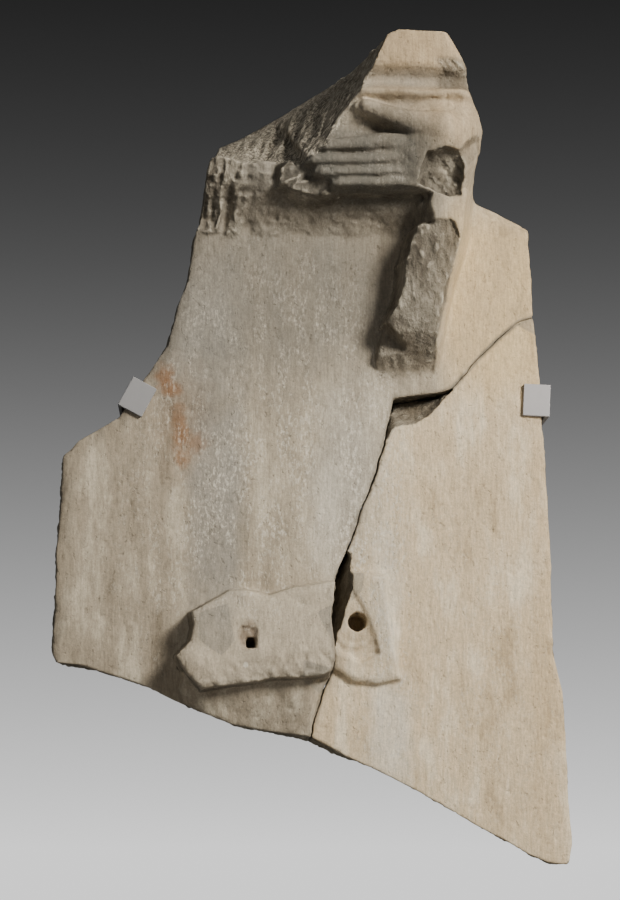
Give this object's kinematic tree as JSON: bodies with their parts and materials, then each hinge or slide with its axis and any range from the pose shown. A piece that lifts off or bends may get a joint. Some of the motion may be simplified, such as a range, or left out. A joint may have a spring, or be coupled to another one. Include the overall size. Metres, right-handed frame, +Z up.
{
  "type": "stone relief panel",
  "caption": "Broken stone back slab in rejoined fragments with a carved hand on a block, a forearm ridge and a boss, hung by bent steel clips.",
  "frame": {"origin": "wall mount, on the flat back of the stone about halfway up", "axes": "+Z up the panel, +X to the right as seen from the front, +Y into the wall"},
  "size_m": [0.7306, 0.2321, 1.2055],
  "materials": {
    "grey_limestone": "weathered matt, grey beige",
    "warm_limestone": "weathered matt, warm beige",
    "shaded_clip_paint": "satin grey paint",
    "clip_paint": "satin grey paint"
  },
  "bodies": {
    "root": {"upper_left_fragment": "grey_limestone", "lower_right_fragment": "warm_limestone", "left_clip": "shaded_clip_paint", "right_clip": "clip_paint"}
  },
  "joints": []
}
